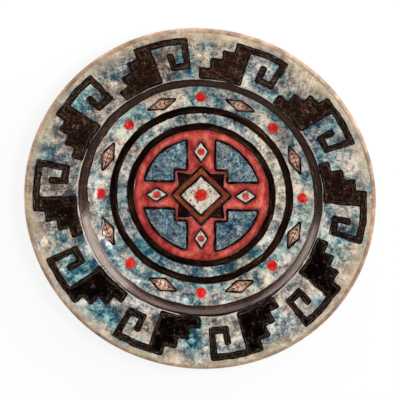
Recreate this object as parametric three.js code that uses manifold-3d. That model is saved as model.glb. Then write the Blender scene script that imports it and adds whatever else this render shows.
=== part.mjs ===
// A wide-rimmed pottery plate lying face up on its foot ring, with its coat and slip decoration as separate solids.
// Millimetres, +Z up. The origin is the middle of the foot ring's resting face.
// The decoration is a plain stepped-fret border round a stepped-cross medallion, both traditional patterns.

import * as THREE from "three";
import { mergeVertices } from "three/addons/utils/BufferGeometryUtils.js";
import Module from "manifold-3d";

const wasm = await Module();
wasm.setup();

const radians = THREE.MathUtils.degToRad;
const quarterTurn = Math.PI / 2;
const fullTurn = Math.PI * 2;

// Driving sizes: lengths in millimetres, angles in degrees

const plateRadius = 150;
const turnedFacets = 60;
const cornerSteps = 5;
const shoulderSteps = 3;
const lipSteps = 3;
const discFacets = 16;
const panelSegments = 8;

// The dished face: a flat floor, a broad hollow corner, a sloping wall, a rounded shoulder and a gently rising rim
const face = {
  floorRadius: 80,
  floorHeight: 12,
  cornerRadius: 28,
  wallAngle: 40,
  wallLength: 6.5,
  shoulderRadius: 5,
  rimAngle: 12.5,
};

// The back follows the face about 6 mm below it
const back = {
  floorRadius: 90,
  floorHeight: 6,
  cornerRadius: 11,
  wallAngle: 44,
  wallLength: 9.5,
  shoulderRadius: 8,
  rimAngle: 13.5,
};
const lipRadius = 2.6;

const foot = { middleRadius: 82, topWidth: 13, treadWidth: 8, chamfer: 1.2 };

const coat = { thickness: 0.5, edgeRadius: 145.6, feather: 1.2 };
const slip = { gap: 0.1, thickness: 0.45, edgeRadius: 144.6 };

// Every coloured shape stops this far short of the one beside it
const brushGap = 0.3;

const wallBand = { inner: 97, outer: 104.8 };
const floorRing = { inner: 72.2, outer: 78.8 };

// One unit of the rim's fret: a stair of four blocks that climbs to the right, and a square hook from its top
const fret = {
  count: 10,
  baseRadius: 105.4,
  stepHeight: 9,
  stairWidths: [18.4, 14, 9.6, 5.2],
  hookStroke: 2,
  strokeHeight: 4.6,
  hookReach: 13.4,
  hookDrop: 27.5,
  hookReturn: 7.8,
  hookRise: 15,
};

const border = { count: 8, radius: 86.5, halfLength: 13.5, halfWidth: 5.4, discRadius: 4.8 };

const medallion = {
  ring: { inner: 57.6, outer: 64 },
  crossOuter: 57.3,
  panelOuter: 50.6,
  armHalfWidth: 12,
  blockHalfWidth: 22.4,
};
const armLozenge = { radius: 38.2, halfLength: 9.6, halfWidth: 6.2 };
const centre = { frameReach: 26, fieldReach: 18, discRadius: 5.4 };

// Finishes, with the colours of fired clay, slip and glaze

const finishes = {
  clay: { color: 0xd9b59a, roughness: 0.75 },
  groundCoat: { color: 0x9fb0b0, roughness: 0.14 },
  ironSlip: { color: 0x1d1412, roughness: 0.16 },
  redSlip: { color: 0xb2443f, roughness: 0.16 },
  brightRedSlip: { color: 0xc2302a, roughness: 0.16 },
  siennaSlip: { color: 0x70361f, roughness: 0.16 },
  roseSlip: { color: 0xb98a72, roughness: 0.16 },
  creamSlip: { color: 0xd8d2c0, roughness: 0.16 },
  blueSlip: { color: 0x4f7288, roughness: 0.16 },
};

function finish(name) {
  return new THREE.MeshStandardMaterial({ name, metalness: 0, flatShading: true, ...finishes[name] });
}

// Sections and solids of revolution

function polar(radius, angle) {
  return new THREE.Vector2(radius * Math.cos(angle), radius * Math.sin(angle));
}

function arcPoints(middle, radius, from, to, steps) {
  return Array.from({ length: steps + 1 }, (_, i) =>
    polar(radius, from + ((to - from) * i) / steps).add(middle),
  );
}

// The dish's section from the axis out to the end of its shoulder, raised everywhere by lift along its normal
function dishSection(dish, lift = 0) {
  const wall = radians(dish.wallAngle);
  const corner = new THREE.Vector2(dish.floorRadius, dish.floorHeight + dish.cornerRadius);
  const wallFoot = polar(dish.cornerRadius, wall - quarterTurn).add(corner);
  const wallTop = polar(dish.wallLength, wall).add(wallFoot);
  const shoulder = wallTop.clone().sub(polar(dish.shoulderRadius, quarterTurn + wall));
  return [
    new THREE.Vector2(0, dish.floorHeight + lift),
    ...arcPoints(corner, dish.cornerRadius - lift, -quarterTurn, wall - quarterTurn, cornerSteps),
    ...arcPoints(
      shoulder,
      dish.shoulderRadius + lift,
      quarterTurn + wall,
      quarterTurn + radians(dish.rimAngle),
      shoulderSteps,
    ),
  ];
}

// The point of the rim's slope at a radius, past the end of the shoulder
function rimPoint(dish, radius, lift = 0) {
  const end = dishSection(dish, lift).at(-1);
  return new THREE.Vector2(radius, end.y + (radius - end.x) * Math.tan(radians(dish.rimAngle)));
}

function turned(section) {
  return new THREE.LatheGeometry(section, turnedFacets).rotateX(quarterTurn);
}

function bodyGeometry() {
  const faceRim = radians(face.rimAngle);
  const lipX = plateRadius - lipRadius;
  const lipMiddle = new THREE.Vector2(lipX, rimPoint(face, lipX).y - lipRadius / Math.cos(faceRim));
  const underLip = arcPoints(lipMiddle, lipRadius, radians(back.rimAngle) - quarterTurn, 0, lipSteps);
  const overLip = arcPoints(lipMiddle, lipRadius, 0, faceRim + quarterTurn, lipSteps).slice(1);
  const coatEdge = rimPoint(face, coat.edgeRadius);
  return turned([...dishSection(back), ...underLip, ...overLip, coatEdge, ...dishSection(face).reverse()]);
}

function footGeometry() {
  const { middleRadius, topWidth, treadWidth, chamfer } = foot;
  const top = back.floorHeight;
  const outline = [
    [-topWidth / 2, top],
    [-treadWidth / 2 - chamfer / 2, chamfer],
    [-treadWidth / 2, 0],
    [treadWidth / 2, 0],
    [treadWidth / 2 + chamfer / 2, chamfer],
    [topWidth / 2, top],
    [-topWidth / 2, top],
  ];
  return turned(outline.map(([x, z]) => new THREE.Vector2(middleRadius + x, z)));
}

// A skin over the face between two heights above the clay, feathered at its outer edge
function skinGeometry(low, high, edgeRadius, feather) {
  return turned([
    ...dishSection(face, low),
    rimPoint(face, edgeRadius, low),
    rimPoint(face, edgeRadius - feather, high),
    ...dishSection(face, high).reverse(),
  ]);
}

// Joining and cutting

function solidFrom(geometry) {
  const bare = new THREE.BufferGeometry();
  bare.setAttribute("position", geometry.getAttribute("position"));
  bare.setIndex(geometry.getIndex());
  const merged = mergeVertices(bare, 1e-4);
  const mesh = new wasm.Mesh({
    numProp: 3,
    vertProperties: merged.getAttribute("position").array,
    triVerts: merged.getIndex().array,
  });
  return new wasm.Manifold(mesh);
}

function geometryFrom(solid) {
  const mesh = solid.getMesh();
  const geometry = new THREE.BufferGeometry();
  geometry.setAttribute("position", new THREE.BufferAttribute(mesh.vertProperties, 3));
  geometry.setIndex(new THREE.BufferAttribute(mesh.triVerts, 1));
  geometry.computeVertexNormals();
  return geometry;
}

const slipLow = coat.thickness + slip.gap;
const slipSkin = solidFrom(skinGeometry(slipLow, slipLow + slip.thickness, slip.edgeRadius, 0));
const prismHeight = 60;

// A flat shape drawn from above becomes a prism, turned anticlockwise by an angle
function prismFrom(shape, curveSegments = 1, angle = 0) {
  const prism = new THREE.ExtrudeGeometry(shape, { depth: prismHeight, bevelEnabled: false, curveSegments });
  return solidFrom(prism.rotateZ(angle));
}

// What a prism shares with the slip skin lies on the face
function laid(prism) {
  return geometryFrom(prism.intersect(slipSkin));
}

// Shapes seen from above

function discShape(radius, y = 0) {
  return new THREE.Shape().absarc(0, y, radius, 0, fullTurn);
}

// A lozenge on the Y axis, grown by a margin on each of its sides
function lozengeShape(halfAcross, halfUp, y = 0, grow = 0) {
  const scale = 1 + (grow * Math.hypot(halfAcross, halfUp)) / (halfAcross * halfUp);
  const corners = [
    [halfAcross * scale, y],
    [0, y + halfUp * scale],
    [-halfAcross * scale, y],
    [0, y - halfUp * scale],
  ];
  return new THREE.Shape(corners.map(([cornerX, cornerY]) => new THREE.Vector2(cornerX, cornerY)));
}

// A closed outline through corners of radius and bearing, in degrees clockwise from +Y
function polarShape(corners) {
  const places = corners.map(([radius, bearing]) => [radius, quarterTurn - radians(bearing)]);
  const first = polar(...places[0]);
  const shape = new THREE.Shape().moveTo(first.x, first.y);
  let [lastRadius, lastAngle] = places[0];
  for (const [radius, angle] of [...places.slice(1), places[0]]) {
    const next = polar(radius, angle);
    if (radius === lastRadius) {
      shape.absarc(0, 0, radius, lastAngle, angle, angle < lastAngle);
    } else {
      shape.lineTo(next.x, next.y);
    }
    [lastRadius, lastAngle] = [radius, angle];
  }
  return shape;
}

// The fret unit, drawn clockwise from the stair's low end: up the stair, round the hook and back along the base
function fretShape() {
  const { baseRadius, stepHeight, stairWidths, hookStroke, strokeHeight } = fret;
  const stairEnd = stairWidths[0];
  const top = baseRadius + stairWidths.length * stepHeight;
  const hookEnd = stairEnd + fret.hookReach;
  const hookLow = top - fret.hookDrop;
  const hookBack = hookEnd - fret.hookReturn;
  const hookTop = hookLow + fret.hookRise;
  const stair = stairWidths.flatMap((width, i) => [
    [baseRadius + i * stepHeight, stairEnd - width],
    [baseRadius + (i + 1) * stepHeight, stairEnd - width],
  ]);
  return polarShape([
    ...stair,
    [top, hookEnd],
    [hookLow, hookEnd],
    [hookLow, hookBack],
    [hookTop, hookBack],
    [hookTop, hookBack + hookStroke],
    [hookLow + strokeHeight, hookBack + hookStroke],
    [hookLow + strokeHeight, hookEnd - hookStroke],
    [top - strokeHeight, hookEnd - hookStroke],
    [top - strokeHeight, stairEnd],
    [baseRadius, stairEnd],
  ]);
}

// One of the four panels between the cross's arms: a quarter disc with its inner corner stepped, and
// short of the cross by the brush gap, or less where it is grown
function panelShape(grow = 0) {
  const arm = medallion.armHalfWidth + brushGap - grow;
  const block = medallion.blockHalfWidth + brushGap - grow;
  const reach = medallion.panelOuter + grow;
  const along = Math.sqrt(reach ** 2 - arm ** 2);
  const start = Math.atan2(arm, along);
  return new THREE.Shape()
    .moveTo(arm, block)
    .lineTo(block, block)
    .lineTo(block, arm)
    .lineTo(along, arm)
    .absarc(0, 0, reach, start, quarterTurn - start, false);
}

// Building up the plate

const plate = new THREE.Group();
plate.name = "pottery_plate";

function addPiece(name, geometry, finishName, bearing = 0) {
  const piece = new THREE.Mesh(geometry, finish(finishName));
  piece.name = name;
  piece.rotation.z = -radians(bearing);
  plate.add(piece);
}

// Copies stand at even bearings, clockwise from +Y, and are numbered from 01
function addRound(name, count, geometry, finishName, firstBearing = 0) {
  for (let i = 0; i < count; i += 1) {
    const number = String(i + 1).padStart(2, "0");
    addPiece(`${name}_${number}`, geometry, finishName, firstBearing + (360 * i) / count);
  }
}

function addThrownParts() {
  addPiece("plate_body", bodyGeometry(), "clay");
  addPiece("foot_ring", footGeometry(), "clay");
  addPiece("face_coat", skinGeometry(0, coat.thickness, coat.edgeRadius, coat.feather), "groundCoat");
}

function ringPrism({ inner, outer }) {
  const segments = turnedFacets / 2;
  return prismFrom(discShape(outer), segments).subtract(prismFrom(discShape(inner), segments));
}

function addBands() {
  addPiece("wall_band", laid(ringPrism(wallBand)), "ironSlip");
  addPiece("floor_ring", laid(ringPrism(floorRing)), "ironSlip");
  addPiece("medallion_ring", laid(ringPrism(medallion.ring)), "ironSlip");
}

function addRimFret() {
  addRound("rim_fret", fret.count, laid(prismFrom(fretShape())), "ironSlip");
}

function addFloorBorder() {
  const { count, radius, halfLength, halfWidth, discRadius } = border;
  const lozenge = prismFrom(lozengeShape(halfLength, halfWidth, radius));
  const disc = prismFrom(discShape(discRadius, radius), discFacets / 2);
  addRound("floor_lozenge", count, laid(lozenge), "roseSlip", 180 / count);
  addRound("floor_disc", count, laid(disc), "brightRedSlip");
}

function armLozengeShape(grow = 0) {
  return lozengeShape(armLozenge.halfWidth, armLozenge.halfLength, armLozenge.radius, grow);
}

// The red ground of the medallion, cut away round everything that lies in it
function crossPrism() {
  const ground = prismFrom(discShape(medallion.crossOuter), turnedFacets / 2);
  const hollows = [0, 1, 2, 3].flatMap((turn) => [
    prismFrom(panelShape(brushGap), panelSegments, turn * quarterTurn),
    prismFrom(armLozengeShape(brushGap), 1, turn * quarterTurn),
  ]);
  hollows.push(prismFrom(lozengeShape(centre.frameReach, centre.frameReach, 0, brushGap)));
  return hollows.reduce((solid, hollow) => solid.subtract(hollow), ground);
}

function addMedallion() {
  addPiece("medallion_cross", laid(crossPrism()), "redSlip");
  addRound("medallion_panel", 4, laid(prismFrom(panelShape(), panelSegments)), "blueSlip");
  addRound("arm_lozenge", 4, laid(prismFrom(armLozengeShape())), "creamSlip");
}

function addCentre() {
  const { frameReach, fieldReach, discRadius } = centre;
  const frame = prismFrom(lozengeShape(frameReach, frameReach));
  const field = prismFrom(lozengeShape(fieldReach, fieldReach));
  const frameHollow = prismFrom(lozengeShape(fieldReach, fieldReach, 0, brushGap));
  const fieldHollow = prismFrom(discShape(discRadius + brushGap), discFacets / 2);
  addPiece("centre_frame", laid(frame.subtract(frameHollow)), "siennaSlip");
  addPiece("centre_field", laid(field.subtract(fieldHollow)), "creamSlip");
  addPiece("centre_disc", laid(prismFrom(discShape(discRadius), discFacets / 2)), "brightRedSlip");
}

addThrownParts();
addBands();
addRimFret();
addFloorBorder();
addMedallion();
addCentre();

export default plate;
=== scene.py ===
import math

import bpy
import numpy as np
from mathutils import Matrix, Vector, noise
from mathutils.geometry import delaunay_2d_cdt


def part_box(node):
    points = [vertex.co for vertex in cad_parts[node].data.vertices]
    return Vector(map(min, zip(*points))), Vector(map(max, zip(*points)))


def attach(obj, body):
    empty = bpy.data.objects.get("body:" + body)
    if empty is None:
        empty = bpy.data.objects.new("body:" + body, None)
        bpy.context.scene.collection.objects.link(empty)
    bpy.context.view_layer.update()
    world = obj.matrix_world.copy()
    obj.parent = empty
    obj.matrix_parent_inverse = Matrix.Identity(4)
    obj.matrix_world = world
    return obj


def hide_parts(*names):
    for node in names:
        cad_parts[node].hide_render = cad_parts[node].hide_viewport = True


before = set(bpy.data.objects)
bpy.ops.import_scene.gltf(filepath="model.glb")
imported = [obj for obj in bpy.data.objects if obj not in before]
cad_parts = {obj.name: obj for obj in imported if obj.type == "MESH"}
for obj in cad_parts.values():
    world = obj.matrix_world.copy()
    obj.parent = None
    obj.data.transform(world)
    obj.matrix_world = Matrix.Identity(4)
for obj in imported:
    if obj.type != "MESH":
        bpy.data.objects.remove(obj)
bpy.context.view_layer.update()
mm = 0.001  # sizes below are in millimetres and angles in degrees; the scene is in metres


def numbered(name, count):
    return [f"{name}_{i:02d}" for i in range(1, count + 1)]


# Nodes and node trees

def addNode(tree, kind, sockets=None, **settings):
    node = tree.nodes.new(kind)
    for name, value in settings.items():
        setattr(node, name, value)
    for key, value in (sockets or {}).items():
        if isinstance(value, bpy.types.NodeSocket):
            tree.links.new(value, node.inputs[key])
        else:
            node.inputs[key].default_value = value
    return node


def mathNode(tree, operation, first, second=0.0, third=0.0):
    sockets = {0: first, 1: second, 2: third}
    return addNode(tree, "ShaderNodeMath", sockets, operation=operation).outputs[0]


def plus(tree, first, second):
    return mathNode(tree, "ADD", first, second)


def minus(tree, first, second):
    return mathNode(tree, "SUBTRACT", first, second)


def times(tree, first, second):
    return mathNode(tree, "MULTIPLY", first, second)


# A value carried over from one range to another, and held at the ends
def mapped(tree, value, start, end, low=0.0, high=1.0, smooth=False):
    return addNode(tree, "ShaderNodeMapRange", {
        "Value": value, "From Min": start, "From Max": end, "To Min": low, "To Max": high,
    }, interpolation_type="SMOOTHSTEP" if smooth else "LINEAR").outputs[0]


def rangeAround(tree, middle, reach):
    return minus(tree, middle, reach), plus(tree, middle, reach)


def vectorNode(tree, operation, first, second=(0, 0, 0)):
    return addNode(tree, "ShaderNodeVectorMath", {0: first, 1: second}, operation=operation).outputs[0]


def scaled(tree, vector, factor):
    return addNode(tree, "ShaderNodeVectorMath", {0: vector, "Scale": factor}, operation="SCALE").outputs[0]


def lengthOf(tree, vector):
    return addNode(tree, "ShaderNodeVectorMath", {0: vector}, operation="LENGTH").outputs["Value"]


def axesOf(tree, vector):
    return addNode(tree, "ShaderNodeSeparateXYZ", {0: vector}).outputs


def vectorOf(tree, x, y, z):
    return addNode(tree, "ShaderNodeCombineXYZ", {0: x, 1: y, 2: z}).outputs[0]


# A tree with named inputs, each given by its start value or, where it has none, by its kind of socket
def newTree(name, kind, inputs, output):
    tree = bpy.data.node_groups.new(name, kind)
    kinds = {int: "Int", float: "Float", tuple: "Vector"}
    for label, value in inputs.items():
        socketType = kinds.get(type(value), value)
        socket = tree.interface.new_socket(label, in_out="INPUT", socket_type=f"NodeSocket{socketType}")
        if type(value) in kinds:
            socket.default_value = value
    label, socketType = output
    tree.interface.new_socket(label, in_out="OUTPUT", socket_type=f"NodeSocket{socketType}")
    return tree, tree.nodes.new("NodeGroupInput").outputs, tree.nodes.new("NodeGroupOutput").inputs


def readAttribute(tree, name, dataType="FLOAT"):
    return addNode(tree, "GeometryNodeInputNamedAttribute", {"Name": name}, data_type=dataType).outputs[0]


# An unsteady hand or wheel: a drift that changes slowly from place to place, about -1 to 1 on each axis
def driftAt(tree, place, patch, seed):
    cloud = addNode(tree, "ShaderNodeTexNoise", {
        "Vector": place, "W": seed, "Scale": mathNode(tree, "DIVIDE", 1.0, patch), "Detail": 1.0,
    }, noise_dimensions="4D")
    centred = vectorNode(tree, "SUBTRACT", cloud.outputs["Color"], (0.5, 0.5, 0.5))
    return scaled(tree, centred, 4.0)


def finishTree(tree, geometry, finish, outputs):
    smooth = addNode(tree, "GeometryNodeSetShadeSmooth", {"Geometry": geometry})
    real = addNode(tree, "GeometryNodeRealizeInstances", {"Geometry": smooth.outputs[0]})
    painted = addNode(tree, "GeometryNodeSetMaterial", {"Geometry": real.outputs[0], "Material": finish})
    tree.links.new(painted.outputs[0], outputs["Geometry"])


# Turns a section, given as a row of points, about the plate's axis as a thrown piece
def makeTurningTree():
    tree, given, result = newTree("turnedOnWheel", "GeometryNodeTree", {
        "Section": "Geometry", "Facets": 288, "Wheel drift": 0.0, "Wheel patch": 0.1, "Steady height": 0.02,
        "Brush drift": 0.0, "Brush patch": 0.02, "Seed": 0.0, "Finish": "Material",
    }, ("Geometry", "Geometry"))
    section = given["Section"]
    count = addNode(tree, "GeometryNodeAttributeDomainSize", {"Geometry": section}).outputs["Point Count"]
    columns = plus(tree, given["Facets"], 1.0)
    grid = addNode(tree, "GeometryNodeMeshGrid", {"Vertices X": columns, "Vertices Y": count})
    index = addNode(tree, "GeometryNodeInputIndex").outputs[0]
    row = mathNode(tree, "MODULO", index, count)
    column = mathNode(tree, "FLOOR", mathNode(tree, "DIVIDE", index, count))
    angle = times(tree, mathNode(tree, "DIVIDE", column, given["Facets"]), math.tau)
    across, along = mathNode(tree, "COSINE", angle), mathNode(tree, "SINE", angle)

    def sample(value, dataType="FLOAT_VECTOR"):
        return addNode(tree, "GeometryNodeSampleIndex", {
            "Geometry": section, "Value": value, "Index": row,
        }, data_type=dataType).outputs[0]

    def swung(flat):
        out, _, up = axesOf(tree, flat)
        return vectorOf(tree, times(tree, out, across), times(tree, out, along), up)

    place = swung(sample(addNode(tree, "GeometryNodeInputPosition").outputs[0]))
    slide = swung(sample(readAttribute(tree, "slide", "FLOAT_VECTOR")))
    brush = axesOf(tree, driftAt(tree, place, given["Brush patch"], given["Seed"]))[0]
    stroke = scaled(tree, slide, times(tree, brush, given["Brush drift"]))
    height = mathNode(tree, "DIVIDE", axesOf(tree, place)[2], given["Steady height"])
    rise = times(tree, mathNode(tree, "MINIMUM", height, 1.0), given["Wheel drift"])
    wheel = scaled(tree, driftAt(tree, place, given["Wheel patch"], 0.0), rise)
    moved = vectorNode(tree, "ADD", place, vectorNode(tree, "ADD", stroke, wheel))
    shaped = addNode(tree, "GeometryNodeSetPosition", {"Geometry": grid.outputs["Mesh"], "Position": moved})
    marked = addNode(tree, "GeometryNodeStoreNamedAttribute", {
        "Geometry": shaped.outputs[0], "Name": "edge", "Value": sample(readAttribute(tree, "edge"), "FLOAT"),
    }, data_type="FLOAT")
    closed = addNode(tree, "GeometryNodeMergeByDistance", {
        "Geometry": marked.outputs[0], "Distance": 0.001 * mm,
    })
    finishTree(tree, closed.outputs[0], given["Finish"], result)
    return tree


castHeight = 100  # how far above the table the paint starts before it is laid down


# Repeats a flat painted shape round the plate, shakes it a little, and lays it on the glaze
def makeLayingTree():
    tree, given, result = newTree("laidOnGlaze", "GeometryNodeTree", {
        "Shape": "Geometry", "Glaze": "Object", "Copies": 1, "First bearing": 0.0, "Slow drift": 0.0,
        "Slow patch": 0.02, "Quick drift": 0.0, "Quick patch": 0.005, "Relief": 0.0, "Soft edge": 0.001,
        "Clearance": 0.0, "Seed": 0.0, "Finish": "Material",
    }, ("Geometry", "Geometry"))
    index = addNode(tree, "GeometryNodeInputIndex").outputs[0]
    step = mathNode(tree, "DIVIDE", math.tau, given["Copies"])
    bearing = mathNode(tree, "MULTIPLY_ADD", index, step, given["First bearing"])
    hubs = addNode(tree, "GeometryNodePoints", {"Count": given["Copies"]})
    copies = addNode(tree, "GeometryNodeInstanceOnPoints", {
        "Points": hubs.outputs[0],
        "Instance": given["Shape"],
        "Rotation": vectorOf(tree, 0.0, 0.0, times(tree, bearing, -1.0)),
    })
    real = addNode(tree, "GeometryNodeRealizeInstances", {"Geometry": copies.outputs[0]})
    flat = addNode(tree, "GeometryNodeInputPosition").outputs[0]
    slow = scaled(tree, driftAt(tree, flat, given["Slow patch"], given["Seed"]), given["Slow drift"])
    quick = scaled(tree, driftAt(tree, flat, given["Quick patch"], given["Seed"]), given["Quick drift"])
    shaken = vectorNode(tree, "ADD", flat, vectorNode(tree, "ADD", slow, quick))
    level = vectorNode(tree, "MULTIPLY", shaken, (1, 1, 0))
    target = addNode(tree, "GeometryNodeObjectInfo", {"Object": given["Glaze"]})
    drop = addNode(tree, "GeometryNodeRaycast", {
        "Target Geometry": target.outputs["Geometry"],
        "Source Position": vectorNode(tree, "ADD", level, (0, 0, castHeight * mm)),
        "Ray Direction": (0, 0, -1),
        "Ray Length": 2 * castHeight * mm,
    })
    edge = readAttribute(tree, "edge")
    body = mapped(tree, edge, 0.0, given["Soft edge"], 0.0, given["Relief"], smooth=True)
    lift = scaled(tree, drop.outputs["Hit Normal"], plus(tree, body, given["Clearance"]))
    placed = addNode(tree, "GeometryNodeSetPosition", {
        "Geometry": real.outputs[0], "Position": vectorNode(tree, "ADD", drop.outputs["Hit Position"], lift),
    })
    finishTree(tree, placed.outputs[0], given["Finish"], result)
    return tree


turningTree = makeTurningTree()
layingTree = makeLayingTree()
sharpFrom = 35  # edges that turn by more than this are shaded sharp


def addObject(name, data):
    added = bpy.data.objects.new(name, data)
    bpy.context.scene.collection.objects.link(added)
    return added


# Runs a tree on a start mesh and keeps the outcome as a plain mesh that rides on the plate
def makePiece(name, start, tree, finish, nodes, values, thickness=0.0):
    material, slot = finishes[finish]
    values["Finish"] = material
    maker = addObject(name + "Maker", start)
    modifier = maker.modifiers.new("make", "NODES")
    modifier.node_group = tree
    for item in tree.interface.items_tree:
        if item.in_out == "INPUT" and item.name in values:
            modifier[item.identifier] = values[item.name]
    if thickness:
        shell = maker.modifiers.new("thickness", "SOLIDIFY")
        shell.thickness = thickness
        shell.offset = -1  # inwards, so that the face stays where it was laid
    graph = bpy.context.evaluated_depsgraph_get()
    made = maker.evaluated_get(graph)
    mesh = bpy.data.meshes.new_from_object(made, preserve_all_data_layers=True, depsgraph=graph)
    bpy.data.objects.remove(maker)
    mesh.name = name
    mesh.set_sharp_from_angle(angle=math.radians(sharpFrom))
    piece = addObject(name, mesh)
    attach(piece, "root")
    if nodes:
        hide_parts(*nodes)
    print("made", name, len(mesh.polygons), "faces")
    return piece


# Shader groups and what they are used through

# A colour as a picture gives it, from 0 to 255, turned into the linear light that shaders take
def linear(*colour):
    shares = [value / 255 for value in colour]
    return tuple(s / 12.92 if s <= 0.04 else ((s + 0.055) / 1.055) ** 2.4 for s in shares) + (1.0,)


def mixColours(tree, amount, first, second):
    node = tree.nodes.new("ShaderNodeMix")
    node.data_type = "RGBA"
    sockets = {socket.identifier: socket for socket in node.inputs}
    for key, value in (("Factor_Float", amount), ("A_Color", first), ("B_Color", second)):
        if isinstance(value, bpy.types.NodeSocket):
            tree.links.new(value, sockets[key])
        else:
            sockets[key].default_value = value
    return next(socket for socket in node.outputs if socket.identifier == "Result_Color")


# Lays a colour over another where a mask says, and covers no more than a share of it
def overlaid(tree, base, mask, share, colour):
    return mixColours(tree, times(tree, mask, share), base, linear(*colour))


# The stops give a colour for each place along the factor
def colourRamp(tree, factor, stops):
    node = addNode(tree, "ShaderNodeValToRGB", {0: factor})
    elements = node.color_ramp.elements
    while len(elements) < len(stops):
        elements.new(0.5)
    for element, (position, colour) in zip(elements, stops.items()):
        element.position = position
        element.color = linear(*colour)
    return node.outputs[0]


def objectPlace(tree):
    return addNode(tree, "ShaderNodeTexCoord").outputs["Object"]


# Distance from the plate's axis, in millimetres
def axisDistance(tree):
    return lengthOf(tree, vectorNode(tree, "MULTIPLY", objectPlace(tree), (1 / mm, 1 / mm, 0)))


# A place that changes slowly round the plate and quickly across it, for streaks left on the turning wheel
def roundTheWheel(tree, slowness=10):
    heading = vectorNode(tree, "NORMALIZE", vectorNode(tree, "MULTIPLY", objectPlace(tree), (1, 1, 0)))
    east, north, _ = axesOf(tree, scaled(tree, heading, slowness * mm))
    return vectorOf(tree, mathNode(tree, "DIVIDE", axisDistance(tree), 1 / mm), east, north)


# Cloudy patches up to one size, in millimetres: the mask goes from 0 to 1 as the cloud passes the level
def makeMottleGroup():
    tree, given, result = newTree("mottle", "ShaderNodeTree", {
        "Place": (0, 0, 0), "Size": 10.0, "Level": 0.5, "Spread": 0.1, "Detail": 3.0, "Grit": 0.6,
        "Stretch": (1, 1, 1), "Seed": 0.0,
    }, ("Mask", "Float"))
    cloud = addNode(tree, "ShaderNodeTexNoise", {
        "Vector": vectorNode(tree, "MULTIPLY", given["Place"], given["Stretch"]),
        "W": given["Seed"],
        "Scale": mathNode(tree, "DIVIDE", 1 / mm, given["Size"]),
        "Detail": given["Detail"],
        "Roughness": given["Grit"],
    }, noise_dimensions="4D")
    ends = rangeAround(tree, given["Level"], given["Spread"])
    tree.links.new(mapped(tree, cloud.outputs[0], *ends), result["Mask"])
    return tree


def mottled(tree, size, level=0.5, spread=0.1, detail=4, seed=0.0, grit=0.6, stretch=(1, 1, 1), place=None):
    return addNode(tree, "ShaderNodeGroup", {
        "Place": place or objectPlace(tree), "Size": size, "Level": level, "Spread": spread, "Detail": detail,
        "Grit": grit, "Stretch": stretch, "Seed": seed,
    }, node_tree=mottleGroup).outputs[0]


# How far in from its border a painted shape is, as a mask from 1 at the border to 0 inside
def makeBorderGroup():
    tree, given, result = newTree("paintBorder", "ShaderNodeTree", {
        "Edge": 0.0, "Width": 1.0, "Softness": 0.4, "Waver": 0.5, "Waver size": 4.0,
    }, ("Mask", "Float"))
    waver = mottled(tree, given["Waver size"], spread=0.25, detail=3, grit=0.8)
    shift = times(tree, minus(tree, waver, 0.5), given["Waver"])
    distance = plus(tree, times(tree, given["Edge"], 1 / mm), shift)
    ends = rangeAround(tree, given["Width"], given["Softness"])
    tree.links.new(mapped(tree, distance, *ends, 1.0, 0.0, smooth=True), result["Mask"])
    return tree


def borderMask(tree, width, softness=0.4, waver=0.5, waverSize=4.0):
    edge = addNode(tree, "ShaderNodeAttribute", attribute_name="edge").outputs["Fac"]
    return addNode(tree, "ShaderNodeGroup", {
        "Edge": edge, "Width": width, "Softness": softness, "Waver": waver, "Waver size": waverSize,
    }, node_tree=borderGroup).outputs[0]


# The sponged ground: cream, grey, blue and sea green dabbed over each other, each from deep to light
sponged = {
    "stops": (0, 0.25, 0.5, 0.75, 1),
    "warm": ((76, 64, 54), (128, 114, 98), (169, 151, 133), (198, 178, 156), (226, 206, 184)),
    "cool": ((32, 42, 54), (82, 93, 99), (133, 136, 133), (174, 170, 161), (213, 203, 190)),
    "sea": ((9, 42, 58), (38, 88, 101), (94, 136, 138), (147, 171, 163), (194, 203, 189)),
    "teal": (20, 62, 80), "navy": (22, 24, 50), "share": 0.85,  # how much these two cover of the rest
    "level": 0.505, "drift": 0.085,  # where its middle tone lies, and how much that changes over the plate
}
dabs = {
    "grain": dict(size=15.0, spread=0.105, detail=5, seed=0.0, grit=0.9),
    "cool": dict(size=48, spread=0.06, detail=5, seed=1.0, grit=0.7),
    "sea": dict(size=36, level=0.54, spread=0.05, detail=5, seed=2.0, grit=0.75),
    "navySpecks": dict(size=3, level=0.6, spread=0.045, detail=3, seed=3.0, grit=0.65),
    "navyPatches": dict(size=16, level=0.52, spread=0.05, detail=3, seed=4.0),
    "teal": dict(size=12, level=0.57, spread=0.045, detail=5, seed=5.0, grit=0.88),
    "drift": dict(size=60, spread=0.16, detail=2, seed=6.0),
}


def makeSpongedGroup():
    tree, given, result = newTree("spongedGround", "ShaderNodeTree", {
        "Depth": 0.0, "Grain": dabs["grain"]["size"], "Seed": 0.0,
    }, ("Color", "Color"))

    def dabbed(name, **own):
        seed = plus(tree, given["Seed"], dabs[name]["seed"])
        return mottled(tree, **{**dabs[name], **own, "seed": seed})

    drift = times(tree, minus(tree, dabbed("drift"), 0.5), sponged["drift"])
    level = plus(tree, plus(tree, given["Depth"], drift), sponged["level"])
    tone = dabbed("grain", size=given["Grain"], level=level)
    warm, cool, sea = (
        colourRamp(tree, tone, dict(zip(sponged["stops"], sponged[key]))) for key in ("warm", "cool", "sea")
    )
    colour = mixColours(tree, dabbed("cool"), warm, cool)
    colour = mixColours(tree, dabbed("sea"), colour, sea)
    colour = overlaid(tree, colour, dabbed("teal"), sponged["share"], sponged["teal"])
    specks = times(tree, dabbed("navySpecks"), dabbed("navyPatches"))
    colour = overlaid(tree, colour, specks, sponged["share"], sponged["navy"])
    tree.links.new(colour, result["Color"])
    return tree


def spongedColour(tree, depth=0.0, grain=dabs["grain"]["size"], seed=0.0):
    sockets = {"Depth": depth, "Grain": grain, "Seed": seed}
    return addNode(tree, "ShaderNodeGroup", sockets, node_tree=spongedGroup).outputs[0]


mottleGroup = makeMottleGroup()
borderGroup = makeBorderGroup()
spongedGroup = makeSpongedGroup()


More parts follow.
